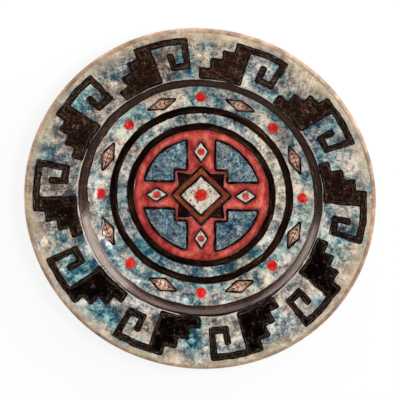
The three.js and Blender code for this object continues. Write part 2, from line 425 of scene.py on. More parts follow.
# What each slip is made of: tones from deep to pale along its cloud, then any specks and a shade along its
# edge, and the border at which it thins out and lets the ground through
slips = {
    "clay": {
        "cloud": dict(size=14, spread=0.14, seed=20, grit=0.8),
        "tones": {0: (110, 88, 70), 0.4: (146, 120, 99), 0.75: (169, 142, 118), 1: (190, 163, 138)},
        "specks": dict(colour=(120, 86, 66), share=0.5, size=1.6, level=0.7, spread=0.04, detail=2, seed=21),
    },
    "iron": {
        "cloud": dict(size=6, level=0.57, seed=30, grit=1.0),
        "tones": {0: (1, 0, 0), 0.4: (9, 4, 3), 0.7: (34, 25, 21), 1: (100, 88, 82)},
        # the browner, paler tones used towards the top of the plate
        "topTones": {0: (24, 12, 7), 0.4: (50, 32, 23), 0.7: (76, 55, 44), 1: (124, 103, 90)},
        "topWaver": dict(size=60, spread=0.25, detail=2, seed=33), "topWaverReach": 0.16,
        "topFrom": (-0.02, 0.2),  # in metres up the plate
        "glint": dict(size=7, level=0.52, spread=0.08, seed=34, grit=0.9), "glintFrom": (2.5, 1.7),
        "glintColour": (96, 74, 60), "glintShare": 0.35, "glintSoftness": 0.35,
        "edge": dict(colour=(6, 3, 2), share=0.9, width=1.2),
        "border": dict(width=0.2),
    },
    "ground": {  # by distance from the axis, which wavers a little
        "waver": 4, "wander": dict(size=18, spread=0.25, seed=12),
        "well": 87, "wellEdge": (9, 16), "wellDepth": (-0.016, 0.006),  # paler in a ring round the floor's border, and a little deeper away from it
        "shoulder": 105.1, "shoulderEdge": (0.3, 0.9), "shoulderShare": 0.85,  # the glaze breaks pale there, and the pale line also stands in for the highlight along the shoulder: partly a painted highlight
        "shoulderColour": (176, 160, 146),
        "pale": (132, 147), "paleShare": 0.72, "paleColour": (192, 171, 142),  # in patches near the lip
        "patches": dict(size=30, level=0.45, spread=0.12, seed=13, grit=0.7),
        "bare": (146.5, 149.5),  # here it gives way to clay
        "glaze": dict(roughness=0.2, peel=0.03),
    },
    "line": {
        "cloud": dict(size=6, spread=0.14, seed=40, grit=0.9),
        "tones": {0: (4, 1, 1), 0.5: (18, 9, 7), 0.8: (42, 24, 18), 1: (74, 48, 38)},
        "border": dict(width=0.04, softness=0.12, waver=0.3),
    },
    "band": {
        "cloud": dict(size=5, level=0.54, spread=0.13, seed=42, grit=0.95), "turned": True,
        "tones": {0: (5, 1, 0), 0.4: (20, 10, 7), 0.75: (46, 28, 20), 1: (84, 58, 44)},
        "border": dict(width=0.15, waver=0.6),
    },
    "wall": {
        "streaks": dict(size=5, spread=0.16, detail=3, seed=43, grit=0.95), "streakReach": 1.2,
        "cloud": dict(size=4, level=0.52, spread=0.13, seed=46, grit=1.0),
        "tones": {0: (10, 3, 1), 0.35: (28, 13, 8), 0.65: (50, 29, 20), 1: (108, 78, 63)},
        "shoulder": (103.0, 104.2),  # painted shade: the slip is darkened where the wall turns into the rim, standing in for the dark that the shoulder mirrors
        "liner": dict(width=1.1, softness=0.5, waver=1.0), "linerAndShadeColour": (9, 4, 3), "linerAndShadeShare": 0.9,
        "border": dict(width=0.04, softness=0.12, waver=0.4),
        "glaze": dict(roughness=0.1, peel=0.04, peelSize=3.5),
    },
    "red": {
        "cloud": dict(size=11, level=0.51, spread=0.13, seed=50, grit=0.8, stretch=(1, 0.6, 1)),
        "tones": {0: (112, 34, 28), 0.3: (160, 61, 53), 0.6: (186, 80, 70), 1: (210, 114, 101)},
        "edge": dict(colour=(104, 26, 26), share=0.85, width=2.4, softness=2.0, waver=3.0, waverSize=9.0),
    },
    "brightRed": {
        "cloud": dict(size=4, spread=0.15, seed=55, grit=0.8),
        "tones": {0: (140, 20, 19), 0.5: (184, 34, 30), 0.85: (202, 60, 51), 1: (218, 112, 97)},
        "border": dict(width=0.7, softness=0.7, waver=1.2),
    },
    "sienna": {
        "cloud": dict(size=6, spread=0.15, seed=60, grit=0.85),
        "tones": {0: (66, 26, 14), 0.5: (112, 50, 28), 0.85: (140, 70, 42), 1: (168, 100, 68)},
        "edge": dict(colour=(58, 22, 13), share=0.8, width=1.6, softness=0.8, waver=0.8),
    },
    "rose": {
        "cloud": dict(size=8, level=0.46, spread=0.14, seed=65, grit=0.9),
        "tones": {0: (84, 46, 34), 0.3: (146, 96, 77), 0.6: (196, 150, 126), 1: (228, 198, 174)},
        "edge": dict(colour=(84, 46, 34), share=0.8, width=2.0, softness=1.4, waver=2.0),
    },
    "cream": {
        "cloud": dict(size=7, level=0.48, spread=0.15, seed=70, grit=0.8),
        "tones": {0: (140, 131, 120), 0.4: (188, 175, 158), 1: (218, 203, 185)},
        "specks": dict(colour=(40, 40, 46), share=0.9, size=1.9, level=0.585, spread=0.04, detail=2, seed=71),
        "edge": dict(colour=(96, 110, 118), share=0.5, width=1.6, softness=1.0, waver=1.5),
    },
    "blue": {
        "cloud": dict(size=8, level=0.52, spread=0.12, detail=5, seed=80, grit=1.0),
        "tones": {0: (18, 34, 52), 0.35: (62, 88, 106), 0.65: (106, 134, 142), 1: (180, 188, 182)},
        "sponge": dict(size=14, level=0.52, spread=0.08, seed=81, grit=0.8), "spongeShare": 0.6,
        "sponged": dict(depth=0.02, grain=4.5, seed=3.3),
        "specks": dict(colour=(14, 24, 42), share=0.85, size=2, level=0.56, spread=0.045, detail=2, seed=82),
    },
}


# A slip's tones, clouded as the brush and the kiln left them, or streaked where it was turned on
def toned(tree, slip):
    place = roundTheWheel(tree) if "turned" in slip else None
    return colourRamp(tree, mottled(tree, place=place, **slip["cloud"]), slip["tones"])


# The ground everywhere on the face
def faceColour(tree, slip):
    wander = minus(tree, mottled(tree, **slip["wander"]), 0.5)
    radius = plus(tree, axisDistance(tree), times(tree, wander, slip["waver"]))
    fromWell = mathNode(tree, "ABSOLUTE", minus(tree, radius, slip["well"]))
    ground = spongedColour(tree, mapped(tree, fromWell, *slip["wellEdge"], *slip["wellDepth"]))
    # a pale line along the shoulder: glaze breaking over the edge, and partly a painted highlight
    fromShoulder = mathNode(tree, "ABSOLUTE", minus(tree, axisDistance(tree), slip["shoulder"]))
    paler = mapped(tree, fromShoulder, *slip["shoulderEdge"], slip["shoulderShare"], 0.0)
    ground = mixColours(tree, paler, ground, linear(*slip["shoulderColour"]))
    pale = mapped(tree, radius, *slip["pale"], 0.0, slip["paleShare"], smooth=True)
    ground = overlaid(tree, ground, pale, mottled(tree, **slip["patches"]), slip["paleColour"])
    bare = mapped(tree, radius, *slip["bare"], smooth=True)
    return mixColours(tree, bare, ground, toned(tree, slips["clay"]))


# Paint lets the ground through at its border, where it thins out
def overGround(tree, paint, width, softness=0.2, waver=0.35):
    bare = borderMask(tree, width, softness, waver, waverSize=2.5)
    return mixColours(tree, bare, paint, faceColour(tree, slips["ground"]))


def specked(tree, base, colour, share, **cloud):
    return overlaid(tree, base, mottled(tree, **cloud), share, colour)


def edged(tree, base, colour, share, **border):
    return overlaid(tree, base, borderMask(tree, **border), share, colour)


# What a slip's dictionary says, from its tones up
def slipColour(tree, slip):
    colour = toned(tree, slip)
    if "specks" in slip:
        colour = specked(tree, colour, **slip["specks"])
    if "edge" in slip:
        colour = edged(tree, colour, **slip["edge"])
    return overGround(tree, colour, **slip["border"]) if "border" in slip else colour


# Iron slip is browner and paler towards the top of the plate
def ironColour(tree, slip):
    tone = mottled(tree, **slip["cloud"])
    wander = times(tree, mottled(tree, **slip["topWaver"]), slip["topWaverReach"])
    towardsTop = mapped(tree, plus(tree, axesOf(tree, objectPlace(tree))[1], wander), *slip["topFrom"])
    deeper, paler = (colourRamp(tree, tone, slip[key]) for key in ("tones", "topTones"))
    outer, inner = (borderMask(tree, width, slip["glintSoftness"]) for width in slip["glintFrom"])
    glint = times(tree, minus(tree, outer, inner), mottled(tree, **slip["glint"]))
    # browner and paler towards the top of the plate
    base = mixColours(tree, towardsTop, deeper, paler)
    lined = overlaid(tree, base, glint, slip["glintShare"], slip["glintColour"])
    return overGround(tree, edged(tree, lined, **slip["edge"]), **slip["border"])


def wallColour(tree, slip):
    streaks = mottled(tree, place=roundTheWheel(tree), **slip["streaks"])
    tone = times(tree, plus(tree, streaks, mottled(tree, **slip["cloud"])), 0.5)
    streaked = mathNode(tree, "MULTIPLY_ADD", streaks, slip["streakReach"], axisDistance(tree))
    # painted shade along the shoulder, laid on with the liner's colour
    shoulder = mapped(tree, streaked, *slip["shoulder"], smooth=True)
    liner = mathNode(tree, "MAXIMUM", borderMask(tree, **slip["liner"]), shoulder)
    base = colourRamp(tree, tone, slip["tones"])
    lined = overlaid(tree, base, liner, slip["linerAndShadeShare"], slip["linerAndShadeColour"])
    return overGround(tree, lined, **slip["border"])


def blueColour(tree, slip):
    sponge = times(tree, mottled(tree, **slip["sponge"]), slip["spongeShare"])
    base = mixColours(tree, sponge, toned(tree, slip), spongedColour(tree, **slip["sponged"]))
    return specked(tree, base, **slip["specks"])


plainGlaze = {"roughness": 0.08, "peel": 0.02, "peelSize": 4.0, "ior": 1.5}


# A glazed finish: colour gets the tree and the slip and gives a colour socket; the glaze is not quite level
def makeFinish(name, slip, colour=slipColour):
    look = {**plainGlaze, **slips[slip].get("glaze", {})}
    material = bpy.data.materials.new(name)
    material.use_nodes = True
    tree = material.node_tree
    shader = tree.nodes["Principled BSDF"]
    shader.inputs["Roughness"].default_value = look["roughness"]
    shader.inputs["IOR"].default_value = look["ior"]
    tree.links.new(colour(tree, slips[slip]), shader.inputs["Base Color"])
    peel = mottled(tree, look["peelSize"], spread=0.5, detail=2, seed=9)
    bump = addNode(tree, "ShaderNodeBump", {"Height": peel, "Distance": look["peel"] * mm})
    tree.links.new(bump.outputs[0], shader.inputs["Normal"])
    return material


bareBack = {"lipRadius": 144, "lipHeight": 29, "roughness": 0.6, "lipRoughness": 0.25}


# The lip has caught some glaze and the back has none
def dullBack(material):
    tree = material.node_tree
    far = mathNode(tree, "GREATER_THAN", axisDistance(tree), bareBack["lipRadius"])
    high = mathNode(tree, "GREATER_THAN", axesOf(tree, objectPlace(tree))[2], bareBack["lipHeight"] * mm)
    rough = mapped(tree, times(tree, far, high), 0.0, 1.0, bareBack["roughness"], bareBack["lipRoughness"])
    tree.links.new(rough, tree.nodes["Principled BSDF"].inputs["Roughness"])
    return material


wallGloss = {
    "roughness": (0.05, 0.34), "ridge": 0.03, "ridgeSize": 3, "slowness": 16,
    "ior": 1.9,  # iron makes the glaze over the slip denser and brighter
    "tint": (1.0, 0.82, 0.74, 1),
}


# The wheel drew the slip on the wall out into fine ridges, which break up what it mirrors
def streakedGloss(material):
    tree = material.node_tree
    place = roundTheWheel(tree, wallGloss["slowness"])
    streaks = mottled(tree, wallGloss["ridgeSize"], spread=0.16, seed=45, grit=0.9, place=place)
    shader = tree.nodes["Principled BSDF"]
    shader.inputs["IOR"].default_value = wallGloss["ior"]
    shader.inputs["Specular Tint"].default_value = wallGloss["tint"]
    tree.links.new(mapped(tree, streaks, 0.0, 1.0, *wallGloss["roughness"]), shader.inputs["Roughness"])
    level = shader.inputs["Normal"].links[0].from_node
    ridges = addNode(tree, "ShaderNodeBump", {
        "Height": streaks, "Distance": wallGloss["ridge"] * mm, "Normal": level.outputs[0],
    })
    tree.links.new(ridges.outputs[0], shader.inputs["Normal"])
    return material


finishes = {  # each with the slot that its pieces go in
    "clay": (dullBack(makeFinish("bareClay", "clay")), "clay"),
    "ground": (makeFinish("spongedGroundGlaze", "ground", faceColour), "ground_coat"),
    "iron": (makeFinish("ironSlip", "iron", ironColour), "iron_slip"),
    "line": (makeFinish("ironBrushLine", "line"), "iron_slip"),
    "band": (makeFinish("ironBand", "band"), "iron_slip"),
    "wall": (streakedGloss(makeFinish("ironWallBand", "wall", wallColour)), "iron_slip"),
    "red": (makeFinish("terracottaRedSlip", "red"), "red_slip"),
    "brightRed": (makeFinish("brightRedSlip", "brightRed"), "bright_red_slip"),
    "sienna": (makeFinish("siennaSlip", "sienna"), "sienna_slip"),
    "rose": (makeFinish("roseSlip", "rose"), "rose_slip"),
    "cream": (makeFinish("creamSlip", "cream"), "cream_slip"),
    "blue": (makeFinish("blueSpongedSlip", "blue", blueColour), "blue_slip"),
}
print("finishes:", len(finishes))


# The thrown clay and its glaze

thrown = {
    "radius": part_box("plate_body")[1].x / mm,
    "facets": 288,
    # how far the wheel and the kiln left it out of true, which fades out below the steady height
    "wheel": {"Wheel drift": 0.45, "Wheel patch": 110, "Steady height": 20},
    "lipRadius": 2.6,
    "lipSteps": 16,
    "bendSteps": 12,
    "step": 1.6,  # longest stretch of a section between two points
}
face = {
    "floorRadius": 78, "floorHeight": 12, "cornerRadius": 35.3, "wallAngle": 45, "wallLength": 0.1,
    "shoulderRadius": 6, "rimAngle": 12.5,
}
back = {
    "floorRadius": 90, "floorHeight": 6, "cornerRadius": 11, "wallAngle": 44, "wallLength": 9.5,
    "shoulderRadius": 8, "rimAngle": 13.5,
}
glaze = {"thickness": 0.5, "underside": 0.02, "edgeRadius": 146.4, "feather": 7, "thinnest": 0.05}
foot = {"middleRadius": 82, "topWidth": 13, "treadWidth": 8, "corner": 1.4, "cornerSteps": 6}


def polar(radius, angle):
    return np.array([radius * math.cos(angle), radius * math.sin(angle)])


def arcPoints(middle, radius, start, end, steps):
    return [np.array(middle) + polar(radius, angle) for angle in np.linspace(start, end, steps + 1)]


# A row of points with none further apart than the step
def filledIn(points, step):
    row = [points[0]]
    for here, there in zip(points[:-1], points[1:]):
        count = max(1, math.ceil(np.hypot(*(there - here)) / step))
        row += [here + (there - here) * i / count for i in range(1, count + 1)]
    return row


# The dish's section from the axis to the lip's start, raised by lift along its normal
def dishSection(dish, lift, endRadius):
    quarter, wall, rim = math.pi / 2, math.radians(dish["wallAngle"]), math.radians(dish["rimAngle"])
    corner = np.array([dish["floorRadius"], dish["floorHeight"] + dish["cornerRadius"]])
    wallFoot = corner + polar(dish["cornerRadius"], wall - quarter)
    wallTop = wallFoot + polar(dish["wallLength"], wall)
    shoulder = wallTop - polar(dish["shoulderRadius"], quarter + wall)
    steps = thrown["bendSteps"]
    points = [np.array([0.0, dish["floorHeight"] + lift])]
    points += arcPoints(corner, dish["cornerRadius"] - lift, -quarter, wall - quarter, steps)
    points += arcPoints(shoulder, dish["shoulderRadius"] + lift, quarter + wall, quarter + rim, steps)
    end = points[-1]
    points.append(np.array([endRadius, end[1] + (endRadius - end[0]) * math.tan(rim)]))
    return filledIn(points, thrown["step"])


# A start mesh of loose points, in the section's order, with each point's edge distance and slide direction
def sectionMesh(name, points, edges=None, slides=None):
    mesh = bpy.data.meshes.new(name)
    mesh.from_pydata([(r * mm, 0, z * mm) for r, z in points], [], [])
    if edges is not None:
        mesh.attributes.new("edge", "FLOAT", "POINT").data.foreach_set("value", np.array(edges) * mm)
        flat = np.array([(r, 0, z) for r, z in slides], dtype=np.float32).ravel()
        mesh.attributes.new("slide", "FLOAT_VECTOR", "POINT").data.foreach_set("vector", flat)
    return mesh


def turnedPiece(name, mesh, finish, node, **extra):
    values = {label: size * mm for label, size in thrown["wheel"].items()}
    values.update(extra, Facets=thrown["facets"])
    return makePiece(name, mesh, turningTree, finish, [node], values)


def makeClayBody():
    backEnd, seam = 1, 0.3  # how far short of the lip the back and the face stop
    rim = math.radians(face["rimAngle"])
    over = dishSection(face, 0, thrown["radius"] - thrown["lipRadius"])
    lipMiddle = over[-1] - np.array([0, thrown["lipRadius"] / math.cos(rim)])
    start = math.radians(back["rimAngle"]) - math.pi / 2
    lip = arcPoints(lipMiddle, thrown["lipRadius"], start, rim + math.pi / 2, thrown["lipSteps"])
    under = dishSection(back, 0, lip[0][0] - backEnd)
    over = [point for point in over if point[0] < lip[-1][0] - seam]
    section = sectionMesh("claySection", under + lip + over[::-1])
    turnedPiece("clayBody", section, "clay", "plate_body")


def makeFootRing():
    top, middle = back["floorHeight"], foot["middleRadius"]
    half, tread = foot["topWidth"] / 2, foot["treadWidth"] / 2
    corner, steps = foot["corner"], foot["cornerSteps"]
    lean = 0.3  # how far its sides lean from upright, in radians
    inner = arcPoints((middle - tread + corner, corner), corner, -math.pi + lean, -math.pi / 2, steps)
    outer = arcPoints((middle + tread - corner, corner), corner, -math.pi / 2, -lean, steps)
    points = [np.array([middle - half, top])] + inner + outer + [np.array([middle + half, top])]
    closed = filledIn(points + points[:1], thrown["step"])
    turnedPiece("footRing", sectionMesh("footSection", closed), "clay", "foot_ring")


def makeFaceGlaze():
    under = dishSection(face, glaze["underside"], glaze["edgeRadius"])
    over = dishSection(face, glaze["thickness"], glaze["edgeRadius"])
    shaped = []
    for point in over:
        into = (glaze["edgeRadius"] - point[0]) / glaze["feather"]  # the glaze thins out towards the lip
        if into < 1:
            drop = (1 - math.sqrt(max(0, 1 - (1 - into) ** 2))) * (glaze["thickness"] - glaze["thinnest"])
            point = point - np.array([0, drop])
        shaped.append(point)
    section = sectionMesh("glazeSection", under + shaped[::-1])
    return turnedPiece("faceGlaze", section, "ground", "face_coat")


makeClayBody()
makeFootRing()
faceGlaze = makeFaceGlaze()


# Painted bands, turned like the clay

bands = {
    "wallBand": {
        "inner": 96.8, "outer": 104.6, "finish": "wall", "node": "wall_band", "drift": 0.9, "seed": 1.0,
    },
    "floorRing": {
        "inner": 72.2, "outer": 78.9, "finish": "band", "node": "floor_ring", "drift": 0.7, "seed": 2.0,
    },
    "medallionRing": {
        "inner": 57.6, "outer": 64.0, "finish": "band", "node": "medallion_ring", "drift": 0.6, "seed": 3.0,
    },
}
bandLook = {
    "relief": 0.06, "rounding": 0.8,  # how thick the slip is, and how far in from its edge it gets so
    "raised": 0.02, "sunk": 0.25,  # its edge above the glaze, and its underside in the glaze
    "patch": 20,  # how far along the brush wanders before it comes back
    "edgePoints": (0.05, 0.2, 0.5, 0.8), "step": 1.2, "pathStep": 0.5, "lookAhead": 0.1, "rimMargin": 5,
}


# A band's section: a row of points on the glaze, pushed below it and raised above it
def bandMesh(name, band):
    path = np.array(filledIn(dishSection(face, glaze["thickness"], thrown["radius"] - bandLook["rimMargin"]),
                             bandLook["pathStep"]))
    lengths = np.r_[0, np.cumsum(np.hypot(*np.diff(path, axis=0).T))]

    def onPath(along):
        return np.stack([np.interp(along, lengths, path[:, i]) for i in (0, 1)], 1)

    start, end = (np.interp(band[side], path[:, 0], lengths) for side in ("inner", "outer"))
    near, step = np.array(bandLook["edgePoints"]), bandLook["step"]
    middle = np.linspace(start + step, end - step, max(4, int((end - start) / step)))
    along = np.r_[start, start + near, middle, end - near[::-1], end]
    spots = onPath(along)
    run = onPath(along + bandLook["lookAhead"]) - spots
    slides = run / np.hypot(*run.T)[:, None]
    normals = np.stack([-slides[:, 1], slides[:, 0]], 1)
    edges = np.minimum(along - start, end - along)
    swell = np.sin(np.clip(edges / bandLook["rounding"], 0, 1) * math.pi / 2)
    below = spots - normals * bandLook["sunk"]
    above = spots + normals * (bandLook["raised"] + bandLook["relief"] * swell)[:, None]
    sides = (below, above), (edges, edges), (slides, slides)
    return sectionMesh(name, *(np.r_[lower, upper[::-1], lower[:1]] for lower, upper in sides))


def makeBands():
    for name, band in bands.items():
        turnedPiece(name, bandMesh(name + "Section", band), band["finish"], band["node"], **{
            "Brush drift": band["drift"] * mm, "Brush patch": bandLook["patch"] * mm, "Seed": band["seed"],
        })


makeBands()


# Flat shapes and brush strokes, drawn from above in millimetres

def resampled(path, spacing, closed):
    points = np.array(path + path[:1] if closed else path, dtype=float)
    lengths = np.r_[0, np.cumsum(np.hypot(*np.diff(points, axis=0).T))]
    count = max(8, round(lengths[-1] / spacing))
    along = np.linspace(0, lengths[-1], count + 1)[: count if closed else None]
    return np.stack([np.interp(along, lengths, points[:, i]) for i in (0, 1)], 1)


# Rounds the corners of a path as a loaded brush does
def softened(points, times, closed):
    for _ in range(times):
        before, after = np.roll(points, 1, 0), np.roll(points, -1, 0)
        if not closed:
            before[0], after[-1] = points[0], points[-1]
        points = (before + 2 * points + after) / 4
    return points


# A closed path from corners given by radius and bearing, with arcs where the radius stays the same
def polarPath(corners, arcSteps=12):
    path = []
    for (radius, bearing), (nextRadius, nextBearing) in zip(corners, corners[1:] + corners[:1]):
        count = arcSteps if radius == nextRadius else 1
        for i in range(count):
            turn = math.radians(90 - bearing - (nextBearing - bearing) * i / count)
            path.append(tuple(polar(radius + (nextRadius - radius) * i / count, turn)))
    return path


def segmentsOf(loops):
    return np.concatenate([np.stack([loop, np.roll(loop, -1, 0)], 1) for loop in loops])


def insideOf(points, loops):
    start, end = segmentsOf(loops).transpose(1, 0, 2)[:, None]
    x, y = points[:, None, 0], points[:, None, 1]
    spans = (start[..., 1] > y) != (end[..., 1] > y)
    rise = np.where(end[..., 1] == start[..., 1], 1, end[..., 1] - start[..., 1])
    crossing = start[..., 0] + (y - start[..., 1]) * (end[..., 0] - start[..., 0]) / rise
    return (spans & (x < crossing)).sum(1) % 2 == 1


def distanceTo(points, loops):
    start, end = segmentsOf(loops).transpose(1, 0, 2)[:, None]
    run = end - start
    share = ((points[:, None] - start) * run).sum(2) / (run ** 2).sum(2)
    nearest = start + run * np.clip(share, 0, 1)[..., None]
    return np.sqrt(((points[:, None] - nearest) ** 2).sum(2)).min(1)


def flatMesh(name, points, faces, edges):
    mesh = bpy.data.meshes.new(name)
    mesh.from_pydata([(x * mm, y * mm, 0) for x, y in points], [], faces)
    mesh.attributes.new("edge", "FLOAT", "POINT").data.foreach_set("value", np.array(edges) * mm)
    return mesh


fill = {"outline": 0.7, "margin": 0.5, "softness": 3, "weld": 1e-5}  # the first two in shares of the spacing


# Fills loops with even triangles: the first loop is the outline, and the others are holes
def filledShape(name, paths, spacing):
    loops = [
        softened(resampled(path, fill["outline"] * spacing, True), fill["softness"], True) for path in paths
    ]
    low, high = loops[0].min(0), loops[0].max(0)
    columns = np.arange(low[0], high[0], spacing)
    rows = np.arange(low[1], high[1], spacing * math.sqrt(3) / 2)
    grid = np.array([(x + (i % 2) * spacing / 2, y) for i, y in enumerate(rows) for x in columns])
    grid = grid[insideOf(grid, loops)]
    grid = grid[distanceTo(grid, loops) > fill["margin"] * spacing]
    edges, first = [], 0
    for loop in loops:
        count = len(loop)
        edges += [(first + i, first + (i + 1) % count) for i in range(count)]
        first += count
    spots = [Vector(p) for p in np.r_[np.concatenate(loops), grid]]
    points, _, faces, *_ = delaunay_2d_cdt(spots, edges, [], 0, fill["weld"])
    points = np.array([tuple(p) for p in points])
    kept = insideOf(np.array([points[list(corners)].mean(0) for corners in faces]), loops)
    faces = [tuple(corners) for corners, keep in zip(faces, kept) if keep]
    return flatMesh(name, points, faces, distanceTo(points, loops))


brush = {
    "spacing": 0.9, "softness": 2,
    "swell": 0.55, "swellLength": 8,  # how much a stroke widens and thins, and how quickly along it
    "apart": 7.3,  # so that no two strokes swell alike
    "profile": (1, 0.5, 0, -0.5, -1),  # points across a stroke, in half widths
}


# A brush stroke along each path, with a width that swells and thins a little
def strokeShape(name, paths, width, closed):
    spacing, profile = brush["spacing"], brush["profile"]
    columns = len(profile)
    points, faces, edges = [], [], []
    for number, path in enumerate(paths):
        middle = softened(resampled(path, spacing, closed), brush["softness"], closed)
        run = np.roll(middle, -1, 0) - np.roll(middle, 1, 0)
        if not closed:
            run[0], run[-1] = middle[1] - middle[0], middle[-1] - middle[-2]
        side = np.stack([-run[:, 1], run[:, 0]], 1) / np.hypot(*run.T)[:, None]
        alongs = [i * spacing / brush["swellLength"] for i in range(len(middle))]
        swells = [noise.noise(Vector((along, number * brush["apart"], width))) for along in alongs]
        half = width / 2 * np.array([1 + brush["swell"] * swell for swell in swells])
        first = len(points)
        for i, spot in enumerate(middle):
            points += [spot + side[i] * half[i] * offset for offset in profile]
            edges += [half[i] * (1 - abs(offset)) for offset in profile]
        for i in range(len(middle) if closed else len(middle) - 1):
            here, there = first + columns * i, first + columns * ((i + 1) % len(middle))
            faces += [(here + k, here + k + 1, there + k + 1, there + k) for k in range(columns - 1)]
    return flatMesh(name, points, faces, edges)


painting = {
    "hand": {"Slow drift": 0.6, "Slow patch": 22, "Quick drift": 0.16, "Quick patch": 5, "Soft edge": 0.6},
    "lower": {"Relief": 0.03, "Clearance": 0.035},  # fills that lie on the glaze
    "upper": {"Relief": 0.04, "Clearance": 0.07},  # lines and what else lies on the fills
    "thickness": 0.25,
}


def laidPiece(name, mesh, finish, nodes, copies, bearing, seed, coat):
    values = {label: size * mm for label, size in {**painting["hand"], **painting[coat]}.items()}
    values["First bearing"] = math.radians(bearing)
    values.update(Glaze=faceGlaze, Copies=copies, Seed=seed)
    makePiece(name, mesh, layingTree, finish, nodes, values, painting["thickness"] * mm)


def laidFill(name, paths, finish, nodes, copies=1, bearing=0.0, seed=0.0, coat="lower", spacing=1.0):
    mesh = filledShape(name + "Start", paths, spacing)
    laidPiece(name, mesh, finish, nodes, copies, bearing, seed, coat)


def laidStroke(name, paths, width, copies=1, bearing=0.0, seed=0.0, closed=True):
    mesh = strokeShape(name + "Start", paths, width, closed)
    laidPiece(name, mesh, "line", [], copies, bearing, seed, "upper")


# The rim: a stair of four blocks and a square hook, ten times round

fret = {
    "count": 10, "baseRadius": 105.7, "stepHeight": 9, "strokeHeight": 4.6, "hookDrop": 27.5, "hookRise": 15,
    "stairWidths": (18.4, 14, 9.6, 5.2), "hookStroke": 2, "hookReach": 13.4, "hookReturn": 7.8,  # in degrees
    "lineWidth": 1.7, "spacing": 1.1, "seed": 4.0, "lineSeed": 4.1,
}


def fretPath():
    base, height, stroke = fret["baseRadius"], fret["stepHeight"], fret["strokeHeight"]
    stairEnd = fret["stairWidths"][0]
    top = base + len(fret["stairWidths"]) * height
    hookEnd, hookLow = stairEnd + fret["hookReach"], top - fret["hookDrop"]
    hookBack, hookTop = hookEnd - fret["hookReturn"], hookLow + fret["hookRise"]
    across = fret["hookStroke"]
    corners = []
    for i, width in enumerate(fret["stairWidths"]):
        corners += [(base + i * height, stairEnd - width), (base + (i + 1) * height, stairEnd - width)]
    corners += [
        (top, hookEnd), (hookLow, hookEnd), (hookLow, hookBack), (hookTop, hookBack),
        (hookTop, hookBack + across), (hookLow + stroke, hookBack + across),
        (hookLow + stroke, hookEnd - across), (top - stroke, hookEnd - across),
        (top - stroke, stairEnd), (base, stairEnd),
    ]
    return polarPath(corners)


def makeRimFrets():
    path, count = fretPath(), fret["count"]
    laidFill("rimFrets", [path], "iron", numbered("rim_fret", count), count, 0.0, fret["seed"],
             spacing=fret["spacing"])
    laidStroke("rimFretLines", [path], fret["lineWidth"], count, seed=fret["lineSeed"])


# The floor's border: eight lozenges and eight discs

border = {
    "count": 8, "radius": 86.5, "halfLength": 13.5, "halfWidth": 5.4, "discRadius": 5.3, "lineWidth": 1.6,
    "seed": 5.0, "discSeed": 6.0,
}
veins = {"width": 0.8, "margin": 3, "forks": (-6.5, -2.5, 1.5, 5.5), "slant": 1.8, "rise": 2.9, "taper": 0.2}


def lozengePath(halfAcross, halfUp, y=0.0):
    return [(halfAcross, y), (0, y + halfUp), (-halfAcross, y), (0, y - halfUp)]


def discPath(radius, y=0.0, sides=48):
    return [tuple(polar(radius, angle) + (0, y)) for angle in np.linspace(0, math.tau, sides + 1)[:-1]]


# A midrib and short veins, as on a leaf, inside each lozenge
def veinPaths():
    reach, middle = border["halfLength"] - veins["margin"], border["radius"]
    paths = [[(-reach, middle - 0.4), (0, middle + 0.3), (reach, middle - 0.2)]]  # the midrib bends a little
    for x in veins["forks"]:
        rise, tip = veins["rise"] - veins["taper"] * abs(x), x + veins["slant"]
        paths += [[(x, middle), (tip, middle + rise)], [(x, middle), (tip, middle - rise)]]
    return paths


def makeFloorBorder():
    count, seed = border["count"], border["seed"]
    between = 180 / count  # the lozenges lie halfway between the discs
    lozenge = lozengePath(border["halfLength"], border["halfWidth"], border["radius"])
    laidFill("floorLozenges", [lozenge], "rose", numbered("floor_lozenge", count), count, between, seed)
    laidStroke("floorLozengeLines", [lozenge], border["lineWidth"], count, between, seed)
    laidStroke("floorLozengeVeins", veinPaths(), veins["width"], count, between, seed, closed=False)
    laidFill("floorDiscs", [discPath(border["discRadius"], border["radius"])], "brightRed",
             numbered("floor_disc", count), count, 0.0, border["discSeed"], spacing=0.8)


# The medallion: a stepped cross between four speckled panels

medallion = {
    "crossOuter": 58.1, "panelOuter": 50.6, "armHalfWidth": 12.15, "blockHalfWidth": 22.55,
    "arcPoints": 24, "seed": 7.0,
}
armLozenge = {"radius": 38.2, "halfLength": 9.6, "halfWidth": 6.2, "dotRadius": 3.4}
centre = {"frameReach": 26, "fieldReach": 18, "discRadius": 5.8}
medallionLines = {"panel": 2.3, "arm": 1.6, "centre": 2.1}
wedge = {"base": 18.6, "tip": 29, "halfWidth": 8.5}  # black corners between the frame and the panels


def panelPath():
    arm, block, reach = (medallion[key] for key in ("armHalfWidth", "blockHalfWidth", "panelOuter"))
    start = math.asin(arm / reach)
    angles = np.linspace(start, math.pi / 2 - start, medallion["arcPoints"])
    return [(arm, block), (block, block), (block, arm)] + [tuple(polar(reach, angle)) for angle in angles]


def turnedPath(path, quarters):
    turn = np.linalg.matrix_power(np.array([[0, -1], [1, 0]]), quarters)
    return [tuple(turn @ np.array(point)) for point in path]


